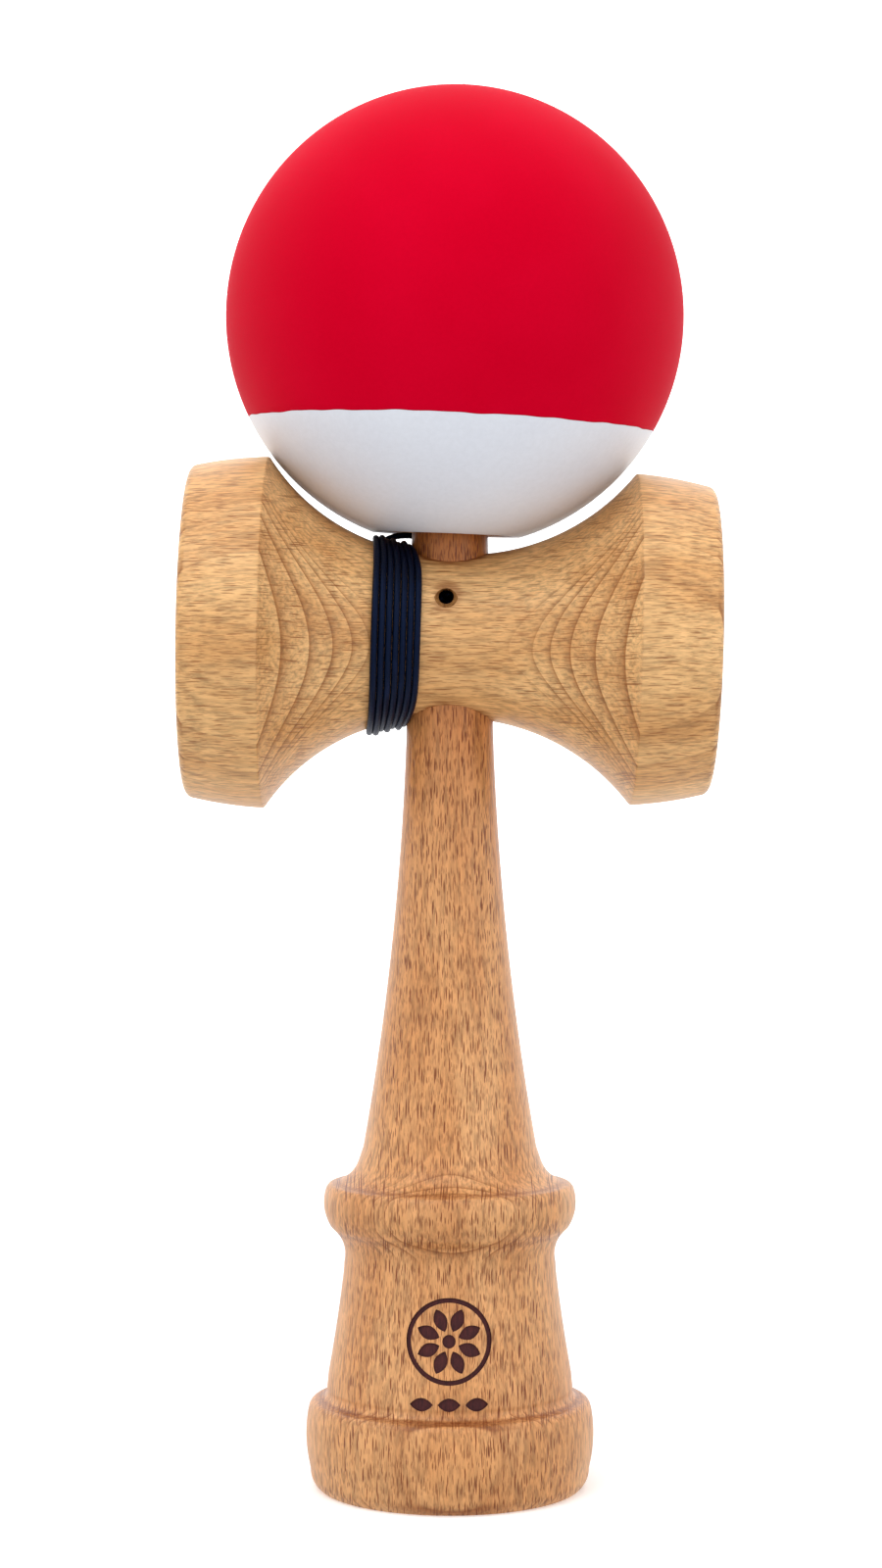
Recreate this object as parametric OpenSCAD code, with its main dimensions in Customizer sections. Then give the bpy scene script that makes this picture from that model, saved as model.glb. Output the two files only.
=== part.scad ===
// Kendama: a turned handle with a spike, a crosspiece with two cups, and a painted ball on a cord.
// Millimetres, +Z up, origin at the middle of the base. The ball sits on the spike.

/* [Handle] */
// Height of the spike's tip above the base
tip_z = 162; // [158:0.5:162]
// Radius of the spike's rounded tip
tip_r = 3; // [2.5:0.1:3.5]
// Largest radius of the base ring
base_r = 18.85; // [18:0.05:20]
// Radius of the ring around the handle
collar_r = 16.5; // [16:0.1:17.2]
// Inner radius of the base cup's rim
base_cup_r = 15; // [13:0.1:15.5]
// Depth of the base cup
base_cup_depth = 6.5; // [4.5:0.1:8]

/* [Crosspiece] */
// Height of the crosspiece's centre
cross_z = 111.4; // [110:0.1:111.6]
// Distance from the centre to each cup's rim
cross_half = 34.25; // [33:0.05:36]
// Lean of the crosspiece about Y, in degrees, with the big cup up
cross_lean = 1.1; // [0:0.1:1.5]
// Radius at the waist
waist_r = 10.75; // [10.4:0.05:10.8]
// Outer radius of the big cup, where its flare ends
big_r = 23; // [22:0.1:23]
// Outer radius of the small cup, where its flare ends
small_r = 21.7; // [20.5:0.1:22]
// Distance from the centre to the end of each flare
flare_end = 24; // [24:0.1:25]
// Inner radius of the big cup's rim
big_cup_r = 19.2; // [17:0.1:19.5]
// Depth of the big cup
big_cup_depth = 7.5; // [6:0.1:9]
// Inner radius of the small cup's rim
small_cup_r = 17.3; // [16:0.1:18]
// Depth of the small cup
small_cup_depth = 6; // [5:0.1:7]

/* [Ball] */
// Radius over the paint
ball_r = 30; // [29.8:0.1:30]
// Height of the ball's centre
ball_z = 153.15; // [153.1:0.05:155]
// Sideways play of the ball on the spike
ball_x = 0.65; // [0:0.05:1]
// Lean of the ball about Y, in degrees
ball_lean = 2.2; // [0:0.1:3]
// Lean of the ball towards the front, in degrees
ball_tip = 3.5; // [0:0.1:4]
// Thickness of the paint
paint = 0.3; // [0.2:0.05:0.5]
// Depth of the paint line below the ball's centre
paint_line = 13.9; // [10:0.1:18]
// Radius of the hole for the spike
hole_r = 8; // [7.5:0.1:8.5]
// Radius of the bevelled rim of that hole
hole_rim_r = 9.8; // [9:0.1:11]
// Radius of the cord's hole at the top
cord_hole_r = 1.3; // [1.1:0.05:1.6]

/* [Cord] */
// Diameter of the cord
cord_d = 0.9; // [0.8:0.05:0.9]
// Turns wound round the crosspiece
cord_turns = 7; // [5:1:7]
// Distance from the crosspiece's centre to the near side of the winding
winding_start = 3.7; // [3.5:0.1:4]
// Diameter of the bead
bead_d = 6.4; // [5:0.1:7]
// Length of the bead
bead_len = 5; // [3:0.1:5]

/* [Hidden] */
$fn = 96;

cord_gap = 0.05;             // the winding lies this far off the crosspiece
run_gap = 0.15;              // and the cord's run this far off the ball
ball_pos = [ball_x, 0, ball_z];
core_r = ball_r - paint;
string_z = 116.1;            // height of the cord's holes in the handle and the crosspiece
string_x = -0.5;             // their distance from the handle's axis
string_hole_r = 1;
turn_pitch = cord_d + 0.05;
winding_len = cord_turns * turn_pitch + cord_d;
waist_flat = 1.4;            // the flares start this far from the crosspiece's centre
bead_pocket_r = bead_d / 2 + 1;
bead_at = 16;                // the bead's centre, above the ball's centre
knot_at = 12.2;              // its knot's centre, above the ball's centre
knot_len = 2.4;
knot_r = 1.5;
knot_room_r = knot_r + 0.4;  // the other knot's room, open to the front of the handle
knot_room_y = -2.2;          // where that room ends
spike_hole_end = 9;          // end of the spike's hole, above the ball's centre
bead_pocket = [11.5, 18.8];  // the full width of the bead's pocket, above the ball's centre

// The neck that holds the crosspiece is a plain taper
neck_low = [5.72, 98];
neck_high = [4.95, 126];
neck_gap = 0.03;

// The cord from the handle's knot, out at the back and up to the winding
lead_route = [[-0.5, -2.3, 116.1], [-0.5, 2, 116.1], [-0.5, 6, 116.1], [-0.5, 9.2, 116.1],
              [-0.5, 10.7, 116.1], [-0.8, 11.8, 116.6], [-1.5, 12.1, 117.7], [-2.2, 11.4, 119],
              [-2.8, 10.1, 119.9], [-3.2, 8.8, 120.5]];

// The cord from the winding, over its turns and behind the spike to the back of the ball
cross_route = [[-9.9, 7.4, 123.4], [-8.8, 6.4, 124.5], [-6.9, 6, 125.1], [-4.6, 6.4, 125.1],
               [-2.4, 7.6, 124.6], [-0.9, 10.6, 124.1]];

// Where the cord turns over the hole's mouth and goes down to the bead's knot, in the ball's frame
mouth_route = [[0, 2.8, 30.45], [0, 1.35, 29.9], [0, 0.7, 28.4], [0, 0.4, 26.5], [0, 0.2, 23],
               [0, 0, 19.5], [0, 0, 16], [0, 0, 13.4]];

// Points on the arc from p to q that stands sag off the line between them: positive to its left
function arc(p, q, sag, n) =
    let (chord = q - p,
         half = norm(chord) / 2,
         r = (half * half + sag * sag) / (2 * abs(sag)),
         left = [-chord[1], chord[0]] / (2 * half) * sign(sag),
         centre = (p + q) / 2 + left * (abs(sag) - r),
         a0 = atan2(p[1] - centre[1], p[0] - centre[0]),
         turn = -sign(sag) * 4 * atan(abs(sag) / half))
    [for (i = [0 : n]) centre + r * [cos(a0 + turn * i / n), sin(a0 + turn * i / n)]];

// Bend radius of a flare that ends at radius end_r, and its radius at a distance from the centre
function flare_bend(end_r) =
    let (rise = end_r - waist_r)
    (pow(flare_end - waist_flat, 2) + rise * rise) / (2 * rise);
function flare(at, end_r) =
    waist_r + flare_bend(end_r) - sqrt(pow(flare_bend(end_r), 2) - pow(max(at - waist_flat, 0), 2));

// Outline of a round dish from its middle to its rim, as [radius, height above the middle]
function dish(rim_r, depth, n) =
    let (bend = (rim_r * rim_r + depth * depth) / (2 * depth))
    [for (i = [0 : n]) let (a = asin(rim_r / bend) * i / n) [bend * sin(a), bend * (1 - cos(a))]];

// Place of a point of the ball's own frame in the part's frame
function ball_point(q) =
    let (y = q[1] * cos(ball_tip) - q[2] * sin(ball_tip),
         z = q[1] * sin(ball_tip) + q[2] * cos(ball_tip))
    ball_pos + [q[0] * cos(ball_lean) + z * sin(ball_lean), y,
                z * cos(ball_lean) - q[0] * sin(ball_lean)];

module in_ball() {
    translate(ball_pos) rotate([ball_tip, ball_lean, 0]) children();
}

module in_cross() {
    translate([0, 0, cross_z]) rotate([0, 90 + cross_lean, 0]) children();
}

/* ---- handle ---- */

base_profile = concat(
    [for (p = dish(base_cup_r, base_cup_depth, 10)) [p[0], base_cup_depth - p[1]]],
    arc([17, 0], [base_r - 0.6, 2.4], -0.35, 4),
    arc([base_r - 0.5, 3], [base_r - 0.25, 10], -0.35, 6),
    arc([base_r - 0.4, 10.6], [base_r - 1.7, 11.5], -0.3, 4),
    arc([16.7, 11.65], [16.1, 13], 0.3, 4),
    arc([15.9, 15], [13.95, 28], 0.1, 6));

collar_profile = concat(
    arc([13.85, 29.5], [15.2, 33.7], 0.6, 8),
    arc([15.6, 34.1], [collar_r - 0.3, 39.2], -0.6, 8),
    arc([collar_r - 0.7, 39.65], [11.9, 42.9], 0.8, 8));

shaft_profile = concat(
    arc([11.35, 44.5], neck_low, 0.94, 16),
    [neck_high],
    arc([4.8, 130], [tip_r, tip_z - tip_r], -0.2, 6),
    arc([tip_r, tip_z - tip_r], [0, tip_z], -0.29 * tip_r, 8));

module handle() {
    past = 2 * neck_low[0];
    color("peru")
    difference() {
        rotate_extrude() polygon(concat(base_profile, collar_profile, shaft_profile));
        translate([string_x, 0, string_z]) rotate([-90, 0, 0]) {
            translate([0, 0, knot_room_y - 1]) cylinder(r = string_hole_r, h = past);
            translate([0, 0, -past]) cylinder(r = knot_room_r, h = past + knot_room_y);
        }
    }
}

module handle_knot() {
    color("midnightblue")
    translate([string_x, knot_room_y - 0.1, string_z]) rotate([90, 0, 0]) knot();
}

/* ---- crosspiece ---- */

// Outline of one half, from the cup's middle round the rim to the waist. The rim stands in by inset
function cross_half_profile(end_r, cup_r, cup_depth, inset) = concat(
    [for (p = dish(cup_r, cup_depth, 10)) [p[0], cross_half - cup_depth + p[1]]],
    arc([end_r - inset - 1.2, cross_half], [end_r - inset, cross_half - 1.2], 0.35, 5),
    arc([end_r - 0.85 * inset, cross_half - 2], [end_r, flare_end + 0.5], 0.15, 4),
    [for (i = [14 : -1 : 1]) [flare(flare_end * i / 14, end_r), flare_end * i / 14]]);

// The taper that the crosspiece sits on, a little larger all round by gap
module neck(gap) {
    translate([0, 0, neck_low[1]])
        cylinder(r1 = neck_low[0] + gap, r2 = neck_high[0] + gap, h = neck_high[1] - neck_low[1]);
}

module crosspiece() {
    small = cross_half_profile(small_r, small_cup_r, small_cup_depth, 1.4);
    big = cross_half_profile(big_r, big_cup_r, big_cup_depth, 1.1);
    big_side = [for (i = [len(big) - 1 : -1 : 0]) [big[i][0], -big[i][1]]];
    color("burlywood")
    difference() {
        in_cross() rotate_extrude() polygon(concat(small, [[waist_r, 0]], big_side));
        neck(neck_gap);
        translate([string_x, 0, string_z]) rotate([-90, 0, 0])
            cylinder(r = string_hole_r, h = 4 * waist_r, center = true);
    }
}

/* ---- ball ---- */

// The spike's hole with its bevel, the bead's pocket and the cord's hole with its rounded mouth
module ball_hollow() {
    rim_z = -sqrt(ball_r * ball_r - hole_rim_r * hole_rim_r);
    mouth = 1.5;
    mouth_z = ball_r - 0.1;
    rotate_extrude() polygon(concat(
        [[0, rim_z - 3], [hole_rim_r + 3, rim_z - 3], [hole_r, rim_z + hole_rim_r - hole_r]],
        [[hole_r, spike_hole_end], [bead_pocket_r, bead_pocket[0]], [bead_pocket_r, bead_pocket[1]]],
        [[cord_hole_r, bead_pocket[1]], [cord_hole_r, mouth_z - mouth]],
        arc([cord_hole_r, mouth_z - mouth], [cord_hole_r + mouth, mouth_z], 0.293 * mouth, 6),
        [[cord_hole_r + mouth, ball_r + 1], [0, ball_r + 1]]));
}

module ball_core() {
    color("wheat") in_ball() difference() {
        sphere(core_r);
        ball_hollow();
    }
}

// A skin of paint from the paint line towards one pole: 1 is the cord's end, -1 the spike's
module coat(pole) {
    in_ball() difference() {
        intersection() {
            sphere(ball_r);
            translate([0, 0, pole * ball_r - paint_line])
                cylinder(r = ball_r + 1, h = 2 * ball_r, center = true);
        }
        sphere(core_r);
        ball_hollow();
    }
}

module ball_red_coat() {
    color("crimson") coat(1);
}

module ball_white_coat() {
    color("whitesmoke") coat(-1);
}

/* ---- cord, bead and knots ---- */

// A knot as a barrel that starts at the origin and grows along +Z
module knot() {
    end_r = 0.6 * knot_r;
    rotate_extrude() polygon(concat(
        [[0, 0]], arc([end_r, 0], [end_r, knot_len], end_r - knot_r, 8), [[0, knot_len]]));
}

module bead() {
    hole = 0.8;
    color("navajowhite") in_ball() translate([0, 0, bead_at - bead_len / 2])
        rotate_extrude() polygon(concat(
            [[hole, 0]],
            arc([bead_d / 2 - 1, 0], [bead_d / 2 - 1, bead_len], -1, 12),
            [[hole, bead_len]]));
}

module bead_knot() {
    color("midnightblue") in_ball() translate([0, 0, knot_at - knot_len / 2]) knot();
}

module cord_winding() {
    steps = 6;
    places = [for (i = [0 : steps]) winding_start + winding_len * i / steps];
    inner = [for (at = places) [flare(at, big_r) + cord_gap, -at]];
    outer = [for (i = [steps : -1 : 0]) [flare(places[i], big_r) + cord_gap + cord_d, -places[i]]];
    color("midnightblue") difference() {
        in_cross() rotate_extrude() polygon(concat(inner, outer));
        neck(cord_gap);
    }
}

// The smooth curve through a route's points, with steps stretches between neighbours
function smooth(p, steps) = concat(
    [for (i = [0 : len(p) - 2], s = [0 : steps - 1])
        let (a = p[max(i - 1, 0)], b = p[i], c = p[i + 1], d = p[min(i + 2, len(p) - 1)], t = s / steps)
        (2 * b + (c - a) * t + (2 * a - 5 * b + 4 * c - d) * t * t
            + (3 * b - a - 3 * c + d) * t * t * t) / 2],
    [p[len(p) - 1]]);

function unit(v) = v / norm(v);
function heading(p, i) = unit(p[min(i + 1, len(p) - 1)] - p[max(i - 1, 0)]);

// Side vectors carried along the curve without twist
function carried(p, i, side) =
    let (t = heading(p, i), s = unit(side - t * (side * t)))
    i == len(p) - 1 ? [s] : concat([s], carried(p, i + 1, s));

module tube(p, d, first_side) {
    sides = 8;
    across = carried(p, 0, first_side);
    rings = len(p);
    points = [for (i = [0 : rings - 1], k = [0 : sides - 1])
        let (a = 360 * k / sides, up = cross(heading(p, i), across[i]))
        p[i] + d / 2 * (cos(a) * across[i] + sin(a) * up)];
    walls = [for (i = [0 : rings - 2], k = [0 : sides - 1])
        let (n = (k + 1) % sides)
        [i * sides + k, (i + 1) * sides + k, (i + 1) * sides + n, i * sides + n]];
    start_cap = [for (k = [0 : sides - 1]) k];
    end_cap = [for (k = [sides - 1 : -1 : 0]) (rings - 1) * sides + k];
    polyhedron(points = points, faces = concat(walls, [start_cap, end_cap]), convexity = 6);
}

// Over the winding, up the ball's back on a meridian, over its top and into the cord's hole
run_r = ball_r + cord_d / 2 + run_gap;
meridian_route = [for (a = [24 : 12 : 168]) ball_point([0, run_r * sin(a), -run_r * cos(a)])];
run_route = concat(cross_route, meridian_route, [for (q = mouth_route) ball_point(q)]);

module cord_lead() {
    color("midnightblue") tube(smooth(lead_route, 2), cord_d, [1, 0, 0]);
}

module cord_run() {
    color("midnightblue") tube(smooth(run_route, 2), cord_d, [0, 0, 1]);
}

handle();
crosspiece();
ball_core();
ball_red_coat();
ball_white_coat();
bead();
bead_knot();
handle_knot();
cord_winding();
cord_lead();
cord_run();
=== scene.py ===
"""Looks of the kendama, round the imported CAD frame. Lengths are in mm until a mesh is made."""

import math

import bmesh
import bpy
import numpy as np
from mathutils import Matrix, Vector


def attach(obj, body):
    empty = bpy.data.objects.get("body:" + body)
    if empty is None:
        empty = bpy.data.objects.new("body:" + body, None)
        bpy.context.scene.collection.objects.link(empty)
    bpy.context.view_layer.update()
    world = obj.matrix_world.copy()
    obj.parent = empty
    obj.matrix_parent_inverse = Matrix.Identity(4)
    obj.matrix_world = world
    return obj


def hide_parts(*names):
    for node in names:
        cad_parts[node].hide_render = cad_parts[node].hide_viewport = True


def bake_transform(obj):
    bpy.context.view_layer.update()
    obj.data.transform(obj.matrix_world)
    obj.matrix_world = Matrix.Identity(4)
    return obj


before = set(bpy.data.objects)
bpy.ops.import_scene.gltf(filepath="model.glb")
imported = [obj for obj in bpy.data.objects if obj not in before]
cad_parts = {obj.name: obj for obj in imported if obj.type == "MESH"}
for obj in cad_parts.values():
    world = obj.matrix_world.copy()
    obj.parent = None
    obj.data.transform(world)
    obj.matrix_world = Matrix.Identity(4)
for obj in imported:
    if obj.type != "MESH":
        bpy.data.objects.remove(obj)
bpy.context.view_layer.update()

MM = 0.001

# ---------------------------------------------------------------- sizes, as in the CAD source
TIP_Z, TIP_R = 162, 3
BASE_R, COLLAR_R = 18.85, 16.5
BASE_CUP_R, BASE_CUP_DEPTH = 15, 6.5
NECK_LOW, NECK_HIGH = (5.72, 98), (4.95, 126)  # (radius, height)
NECK_GAP = 0.03
CROSS_Z, CROSS_HALF, CROSS_LEAN = 111.4, 34.25, 1.1
WAIST_R, BIG_R, SMALL_R = 10.75, 23, 21.7
WAIST_FLAT, FLARE_END = 1.4, 24
BIG_CUP, SMALL_CUP = (19.2, 7.5), (17.3, 6)  # (rim radius, depth)
BALL_R, PAINT, PAINT_LINE = 30, 0.3, -13.9
BALL_POS, BALL_LEAN, BALL_TIP = (0.65, 0, 153.15), 2.2, 3.5
HOLE_R, HOLE_RIM_R, CORD_HOLE_R, MOUTH = 8, 9.8, 1.3, 1.5
SPIKE_HOLE_END = 9
BEAD_POCKET_R, BEAD_POCKET = 4.2, (11.5, 18.8)
BEAD_R, BEAD_LEN, BEAD_HOLE_R, BEAD_AT, KNOT_AT = 3.2, 5, 0.8, 16, 12.2
STRING_D, STRING_X, STRING_Z = 0.9, -0.5, 116.1
STRING_HOLE_R = 1
KNOT_ROOM_R, KNOT_ROOM_Y, STRING_END_Y = 1.9, -2.2, -2.3

IN_CROSS = (
    Matrix.Translation((0, 0, CROSS_Z))
    @ Matrix.Rotation(math.radians(90 + CROSS_LEAN), 4, "Y")
)
IN_BALL = (
    Matrix.Translation(BALL_POS)
    @ Matrix.Rotation(math.radians(BALL_LEAN), 4, "Y")
    @ Matrix.Rotation(math.radians(BALL_TIP), 4, "X")
)


# ---------------------------------------------------------------- outlines
def arc(p, q, sag, n=24):
    """Points on the arc from p to q that stands sag off the line between them, to its left
    if sag is positive."""
    p, q = np.array(p, float), np.array(q, float)
    chord = q - p
    half = np.linalg.norm(chord) / 2
    r = (half**2 + sag**2) / (2 * abs(sag))
    left = np.array([-chord[1], chord[0]]) / (2 * half) * np.sign(sag)
    centre = (p + q) / 2 + left * (abs(sag) - r)
    a0 = math.atan2(p[1] - centre[1], p[0] - centre[0])
    a = a0 - np.sign(sag) * 4 * math.atan(abs(sag) / half) * np.linspace(0, 1, n + 1)
    return [tuple(x) for x in centre + r * np.stack([np.cos(a), np.sin(a)], 1)]


def round_arc(r, a, b, n=48):
    """Points on the circle of radius r about the middle, from a to b degrees above the horizon."""
    t = np.radians(np.linspace(a, b, n + 1))
    return [(r * math.cos(x), r * math.sin(x)) for x in t]


def dish(rim_r, depth, n=24):
    """Outline of a round dish from its middle to its rim, as (radius, height above the middle)."""
    bend = (rim_r**2 + depth**2) / (2 * depth)
    a = math.asin(rim_r / bend) * np.linspace(0, 1, n + 1)
    return [(bend * math.sin(x), bend * (1 - math.cos(x))) for x in a]


def flare(at, end_r=BIG_R):
    """Radius of the crosspiece at a distance from its centre."""
    rise = end_r - WAIST_R
    bend = ((FLARE_END - WAIST_FLAT) ** 2 + rise**2) / (2 * rise)
    return WAIST_R + bend - math.sqrt(bend**2 - max(at - WAIST_FLAT, 0) ** 2)


def softened(outline, radius, closed=False, step=0.2, within=0.004, longest=4.0):
    """The outline with its corners worn round, and only as many points as its curves need."""
    p = np.array(outline, float)
    if closed:
        p = np.vstack([p, p[:1]])
    along = np.concatenate([[0], np.cumsum(np.linalg.norm(np.diff(p, axis=0), axis=1))])
    at = np.linspace(0, along[-1], int(along[-1] / step) + 1)
    p = np.stack([np.interp(at, along, p[:, k]) for k in range(2)], 1)
    reach = max(1, int(3 * radius / step))
    if closed:
        p = p[:-1]
        padded = np.vstack([p[-reach:], p, p[:reach]])
    else:
        start, end = p[1 : reach + 1][::-1] * (-1, 1), p[-reach - 1 : -1][::-1] * (-1, 1)
        padded = np.vstack([start, p, end])
    w = np.exp(-0.5 * (np.arange(-reach, reach + 1) * step / radius) ** 2)
    w /= w.sum()
    p = np.stack([np.convolve(padded[:, k], w, "valid") for k in range(2)], 1)
    if not closed:
        p[[0, -1], 0] = 0
    keep = [0]
    for i in range(2, len(p)):
        a, b, between = p[keep[-1]], p[i], p[keep[-1] + 1 : i]
        d = (b - a) / max(np.linalg.norm(b - a), 1e-9)
        off = np.abs((between - a) @ np.array([-d[1], d[0]])).max()
        if off > within or np.linalg.norm(b - a) > longest:
            keep.append(i - 1)
    keep.append(len(p) - 1)
    return p[keep]


# ---------------------------------------------------------------- meshes
def mesh_object(name, points, faces, smooth_below=40, recalc=True):
    """A new piece from points in mm and faces. It is smooth but for edges of smooth_below
    degrees or more."""
    mesh = bpy.data.meshes.new(name)
    mesh.from_pydata([tuple(p) for p in np.asarray(points, float) * MM], [], faces)
    if recalc:
        bm = bmesh.new()
        bm.from_mesh(mesh)
        bmesh.ops.recalc_face_normals(bm, faces=bm.faces)
        bm.to_mesh(mesh)
        bm.free()
    mesh.shade_smooth()
    mesh.set_sharp_from_angle(angle=math.radians(smooth_below))
    obj = bpy.data.objects.new(name, mesh)
    bpy.context.scene.collection.objects.link(obj)
    return obj


def quads(low, high, n):
    """Faces between two rings of n points, whose first points are low and high."""
    return [(low + k, low + (k + 1) % n, high + (k + 1) % n, high + k) for k in range(n)]


def lathe(name, outline, place=None, around=160, closed=False, shift=None):
    """A turning about Z. The outline runs from axis to axis, or is a closed loop off the axis.
    shift(points, angles) may move the grid of points before it is put in place."""
    outline = np.asarray(outline, float)
    a = np.linspace(0, 2 * math.pi, around, endpoint=False)
    body = outline if closed else outline[1:-1]
    grid = np.empty((len(body), around, 3))
    grid[..., 0] = body[:, :1] * np.cos(a)
    grid[..., 1] = body[:, :1] * np.sin(a)
    grid[..., 2] = body[:, 1:]
    if shift:
        grid = shift(grid, a)
    n = len(body)
    faces = []
    for i in range(n if closed else n - 1):
        faces += quads(i * around, (i + 1) % n * around, around)
    points = grid.reshape(-1, 3)
    if not closed:
        poles = [[0, 0, outline[0, 1]], [0, 0, outline[-1, 1]]]
        last = (n - 1) * around
        faces += [(len(points), (k + 1) % around, k) for k in range(around)]
        faces += [(len(points) + 1, last + k, last + (k + 1) % around) for k in range(around)]
        points = np.vstack([points, poles])
    if place is not None:
        m = np.array(place, float)
        points = points @ m[:3, :3].T + m[:3, 3]
    return mesh_object(name, points, faces)


def prism(name, loops, low, high):
    """Closed loops of (x, z) pushed along Y from low to high."""
    points, faces = [], []
    for loop in loops:
        first, n = len(points), len(loop)
        points += [(x, low, z) for x, z in loop] + [(x, high, z) for x, z in loop]
        faces += quads(first, first + n, n)
        faces += [tuple(range(first, first + n))[::-1], tuple(range(first + n, first + 2 * n))]
    return mesh_object(name, points, faces)


def cut(obj, *tools):
    """Takes the tools out of obj. The faces that they leave keep the tools' materials."""
    for tool in tools:
        m = obj.modifiers.new("cut", "BOOLEAN")
        m.object, m.operation = tool, "DIFFERENCE"
        m.solver, m.material_mode = "EXACT", "TRANSFER"
        now = obj.evaluated_get(bpy.context.evaluated_depsgraph_get())
        mesh = bpy.data.meshes.new_from_object(now)
        obj.modifiers.clear()
        obj.data = mesh
        bpy.data.objects.remove(tool)
    obj.data.shade_smooth()
    obj.data.set_sharp_from_angle(angle=math.radians(40))
    return obj


# ---------------------------------------------------------------- camera
# It stands in front at about half the object's height and looks straight along +Y.
camera = bpy.data.objects.new("camera", bpy.data.cameras.new("camera"))
camera.location = (-0.00116, -0.395, 0.092)
camera.rotation_euler = (math.radians(90), 0, 0)
camera.data.sensor_width = 36
camera.data.lens = 69.05
camera.data.clip_start, camera.data.clip_end = 0.01, 20
bpy.context.scene.collection.objects.link(camera)
bpy.context.scene.camera = camera


# ---------------------------------------------------------------- shader building
def srgb(r, g, b):
    """A linear colour from 0 to 255 display values."""
    shares = [c / 255 for c in (r, g, b)]
    linear = [c / 12.92 if c <= 0.04045 else ((c + 0.055) / 1.055) ** 2.4 for c in shares]
    return (*linear, 1)


class Shader:
    """A node material that ends in one Principled BSDF."""

    def __init__(self, name, **values):
        self.mat = bpy.data.materials.new(name)
        self.mat.use_nodes = True
        self.nodes, self.links = self.mat.node_tree.nodes, self.mat.node_tree.links
        self.bsdf = self.nodes["Principled BSDF"]
        for key, value in values.items():
            socket = key.replace("_", " ").title().replace("Ior", "IOR")
            self.bsdf.inputs[socket].default_value = value

    def put(self, value, socket):
        """Links the socket to value if that is a node's output, or sets it to value."""
        if isinstance(value, bpy.types.NodeSocket):
            self.links.new(value, socket)
        else:
            socket.default_value = value

    def add(self, kind, inputs=None, **settings):
        node = self.nodes.new("ShaderNode" + kind)
        for key, value in settings.items():
            setattr(node, key, value)
        for key, value in (inputs or {}).items():
            self.put(value, node.inputs[key])
        return node

    def math(self, operation, *values):
        return self.add("Math", dict(enumerate(values)), operation=operation).outputs[0]

    def vectors(self, operation, *values):
        node = self.add("VectorMath", dict(enumerate(values)), operation=operation)
        return node.outputs["Value" if operation == "LENGTH" else "Vector"]

    def scaled(self, vector, x, y, z):
        return self.vectors("MULTIPLY", vector, (x, y, z))

    def parts(self, vector):
        """The outputs X, Y and Z of a vector."""
        return self.add("SeparateXYZ", {0: vector}).outputs

    def spot(self):
        """Where on the piece the shaded point lies, in mm."""
        return self.scaled(self.add("TexCoord").outputs["Object"], 1 / MM, 1 / MM, 1 / MM)

    def span(self, value, low, high, to_low=0.0, to_high=1.0):
        """value from low..high brought to to_low..to_high, held at the ends, with soft ends."""
        names = ("Value", "From Min", "From Max", "To Min", "To Max")
        inputs = dict(zip(names, (value, low, high, to_low, to_high)))
        return self.add("MapRange", inputs, interpolation_type="SMOOTHSTEP").outputs[0]

    def mix(self, share, a, b, blend="MIX"):
        """A colour that is a where share is 0 and b where it is 1."""
        inputs = {0: share, 6: a, 7: b}
        return self.add("Mix", inputs, data_type="RGBA", blend_type=blend).outputs[2]

    def noise(self, vector, detail=2.0, rough=0.5, scale=1.0):
        inputs = {"Vector": vector, "Scale": scale, "Detail": detail, "Roughness": rough}
        return self.add("TexNoise", inputs)

    def ramp(self, value, *stops):
        """value read off a ramp of stops, each (place, colour or grey)."""
        node = self.add("ValToRGB", {0: value})
        ramp = node.color_ramp
        for _ in stops[2:]:
            ramp.elements.new(0.5)
        for element, (at, colour) in zip(ramp.elements, stops):
            element.position = at
            element.color = colour if hasattr(colour, "__len__") else (colour, colour, colour, 1)
        return node.outputs[0]

    def finish(self, colour, rough=None, height=None, depth=0.05, strength=1.0):
        """Joins the colour, roughness and bump. depth is the bump's height in mm."""
        self.links.new(colour, self.bsdf.inputs["Base Color"])
        if rough is not None:
            self.links.new(rough, self.bsdf.inputs["Roughness"])
        if height is not None:
            inputs = {"Height": height, "Distance": depth * MM, "Strength": strength}
            self.links.new(self.add("Bump", inputs).outputs[0], self.bsdf.inputs["Normal"])
        return self.mat


# Layers of ray ends: a cell's width and length in mm, the least and most of it that a mark fills,
# and the marks' least and most strength
RAY_ENDS = (
    (0.40, 6.0, 0.13, 0.27, 0.35, 1.0),
    (0.31, 4.2, 0.14, 0.29, 0.2, 1.0),
    (0.20, 2.0, 0.17, 0.32, 0.1, 0.75),
)
RAGGED = 3.0  # how far the fibres draw the edge of a darkened ring in and out, in mm


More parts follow.
